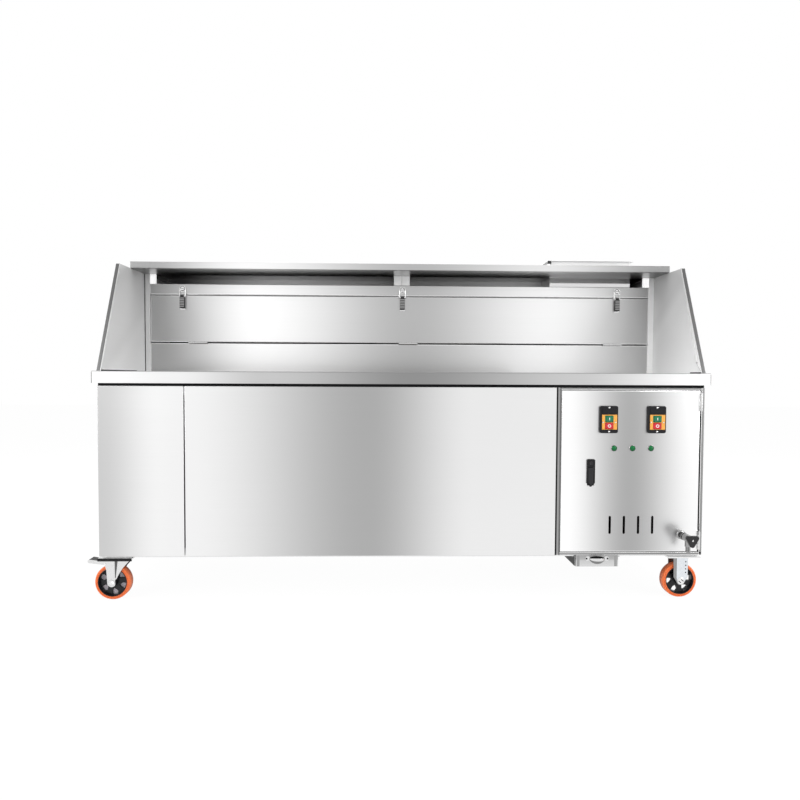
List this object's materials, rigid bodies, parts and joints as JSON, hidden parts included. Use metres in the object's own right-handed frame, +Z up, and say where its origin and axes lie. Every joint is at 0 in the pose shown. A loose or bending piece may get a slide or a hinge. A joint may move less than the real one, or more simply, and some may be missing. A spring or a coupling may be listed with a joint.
{
  "type": "smokeless barbecue cart",
  "caption": "Stainless barbecue cart with leaning side shields, a hinged rear flap under a smoke slot, an exhaust stack, a control door, a grease drawer and casters.",
  "frame": {"origin": "on the floor under the middle of the whole cart", "axes": "+X along the counter to the control side, +Y away from the cook, +Z up"},
  "size_m": [2.04, 0.771, 1.216],
  "materials": {
    "stainless": "soft brushed",
    "grate_steel": "heat-dulled",
    "bright_metal": "bright plated",
    "dark_steel": "black coated",
    "fan_alloy": "as formed",
    "black_plastic": "moulded",
    "green_plastic": "moulded",
    "red_plastic": "moulded",
    "lamp_green": "clear tinted",
    "orange_tyre": "cast polyurethane"
  },
  "bodies": {
    "root": {"base_frame": "stainless", "floor_panel": "stainless", "cabinet_end_panels": "stainless", "cabinet_back_panel": "stainless", "left_front_panel": "stainless", "centre_front_panel": "stainless", "control_frame": "stainless", "partition": "stainless", "counter": "stainless", "firebox": "stainless", "lower_rear_band": "stainless", "upper_rail": "stainless", "hood_posts": "stainless", "hood_back_panel": "stainless", "canopy": "stainless", "left_shield": "stainless", "right_shield": "stainless", "exhaust_stack": "stainless", "grease_filters": "stainless", "fan_housing": "stainless", "charcoal_grate": "grate_steel", "shield_bolts": "bright_metal", "flap_hinge_fixed": "bright_metal", "latch_keepers": "bright_metal", "fixed_forks": "bright_metal", "swivel_plates": "dark_steel", "door_hinge_fixed": "dark_steel", "fan_motor": "dark_steel"},
    "grate_left": {"grill_grate_left": "grate_steel"},
    "grate_right": {"grill_grate_right": "grate_steel"},
    "flap": {"flap_panel": "stainless", "flap_hinge_leaves": "bright_metal", "latch_bases": "bright_metal"},
    "lever_left": {"latch_lever_left": "bright_metal"},
    "lever_centre": {"latch_lever_centre": "bright_metal"},
    "lever_right": {"latch_lever_right": "bright_metal"},
    "impeller": {"fan_impeller": "fan_alloy"},
    "door": {"door_panel": "stainless", "door_hinge_leaves": "dark_steel", "switch_bodies": "black_plastic", "lamp_bezels": "bright_metal", "lamp_lenses": "lamp_green", "lock_housing": "black_plastic", "tap_body": "bright_metal"},
    "start_left": {"start_button_left": "green_plastic"},
    "stop_left": {"stop_button_left": "red_plastic"},
    "start_right": {"start_button_right": "green_plastic"},
    "stop_right": {"stop_button_right": "red_plastic"},
    "lock_pull": {"lock_lever": "black_plastic"},
    "lock_push": {"lock_button": "black_plastic"},
    "tap_turn": {"tap_handle": "black_plastic"},
    "drawer": {"drawer_box": "stainless", "drawer_pull": "bright_metal"},
    "swivel_front": {"swivel_fork_front": "bright_metal"},
    "swivel_rear": {"swivel_fork_rear": "bright_metal"},
    "pedal": {"brake_pedal": "bright_metal"},
    "front_left_wheel": {"wheel_front_left": "orange_tyre"},
    "rear_left_wheel": {"wheel_rear_left": "orange_tyre"},
    "front_right_wheel": {"wheel_front_right": "orange_tyre"},
    "rear_right_wheel": {"wheel_rear_right": "orange_tyre"}
  },
  "joints": [
    {"name": "grate_left_lift", "type": "slide", "parent": "root", "child": "grate_left", "axis": [0, 0, 1], "range_m": [0, 0.15]},
    {"name": "grate_right_lift", "type": "slide", "parent": "root", "child": "grate_right", "axis": [0, 0, 1], "range_m": [0, 0.15]},
    {"name": "flap_fold", "type": "hinge", "parent": "root", "child": "flap", "pos_m": [0.02, 0.0882, 0.867], "axis": [1, 0, 0], "range_deg": [0, 100]},
    {"name": "latch_left", "type": "hinge", "parent": "flap", "child": "lever_left", "pos_m": [-0.814, 0.086, 1.0425], "axis": [-1, 0, 0], "range_deg": [0, 150]},
    {"name": "latch_centre", "type": "hinge", "parent": "flap", "child": "lever_centre", "pos_m": [0.0225, 0.086, 1.0425], "axis": [-1, 0, 0], "range_deg": [0, 150]},
    {"name": "latch_right", "type": "hinge", "parent": "flap", "child": "lever_right", "pos_m": [0.852, 0.086, 1.0425], "axis": [-1, 0, 0], "range_deg": [0, 150]},
    {"name": "fan_spin", "type": "hinge", "parent": "root", "child": "impeller", "pos_m": [0.63, 0.2755, 0.89], "axis": [1, 0, 0], "continuous": true},
    {"name": "door_swing", "type": "hinge", "parent": "root", "child": "door", "pos_m": [0.995, -0.3058, 0.165], "axis": [0, 0, 1], "range_deg": [0, 100]},
    {"name": "start_left_press", "type": "slide", "parent": "door", "child": "start_left", "axis": [0, 1, 0], "range_m": [0, 0.003], "stiffness_N_per_m": 600},
    {"name": "stop_left_press", "type": "slide", "parent": "door", "child": "stop_left", "axis": [0, 1, 0], "range_m": [0, 0.003], "stiffness_N_per_m": 600},
    {"name": "start_right_press", "type": "slide", "parent": "door", "child": "start_right", "axis": [0, 1, 0], "range_m": [0, 0.003], "stiffness_N_per_m": 600},
    {"name": "stop_right_press", "type": "slide", "parent": "door", "child": "stop_right", "axis": [0, 1, 0], "range_m": [0, 0.003], "stiffness_N_per_m": 600},
    {"name": "lock_lever_pull", "type": "hinge", "parent": "door", "child": "lock_pull", "pos_m": [0.6325, -0.304, 0.3965], "axis": [1, 0, 0], "range_deg": [0, 40]},
    {"name": "lock_button_press", "type": "slide", "parent": "door", "child": "lock_push", "axis": [0, 1, 0], "range_m": [0, 0.003], "stiffness_N_per_m": 500},
    {"name": "tap_handle_turn", "type": "hinge", "parent": "door", "child": "tap_turn", "pos_m": [0.937, -0.3855, 0.2215], "axis": [0, 1, 0], "range_deg": [0, 90]},
    {"name": "drawer_slide", "type": "slide", "parent": "root", "child": "drawer", "axis": [0, -1, 0], "range_m": [0, 0.2]},
    {"name": "front_swivel", "type": "hinge", "parent": "root", "child": "swivel_front", "pos_m": [-0.921, -0.2505, 0.141], "axis": [0, 0, 1], "continuous": true},
    {"name": "rear_swivel", "type": "hinge", "parent": "root", "child": "swivel_rear", "pos_m": [-0.921, 0.3215, 0.141], "axis": [0, 0, 1], "continuous": true},
    {"name": "brake_press", "type": "hinge", "parent": "swivel_front", "child": "pedal", "pos_m": [-0.961, -0.2505, 0.1212], "axis": [0, -1, 0], "range_deg": [0, 12]},
    {"name": "front_left_roll", "type": "hinge", "parent": "swivel_front", "child": "front_left_wheel", "pos_m": [-0.941, -0.2505, 0.058], "axis": [0, 1, 0], "continuous": true},
    {"name": "rear_left_roll", "type": "hinge", "parent": "swivel_rear", "child": "rear_left_wheel", "pos_m": [-0.941, 0.3215, 0.058], "axis": [0, 1, 0], "continuous": true},
    {"name": "front_right_roll", "type": "hinge", "parent": "root", "child": "front_right_wheel", "pos_m": [0.9525, -0.2505, 0.058], "axis": [0, 1, 0], "continuous": true},
    {"name": "rear_right_roll", "type": "hinge", "parent": "root", "child": "rear_right_wheel", "pos_m": [0.9525, 0.3215, 0.058], "axis": [0, 1, 0], "continuous": true}
  ]
}
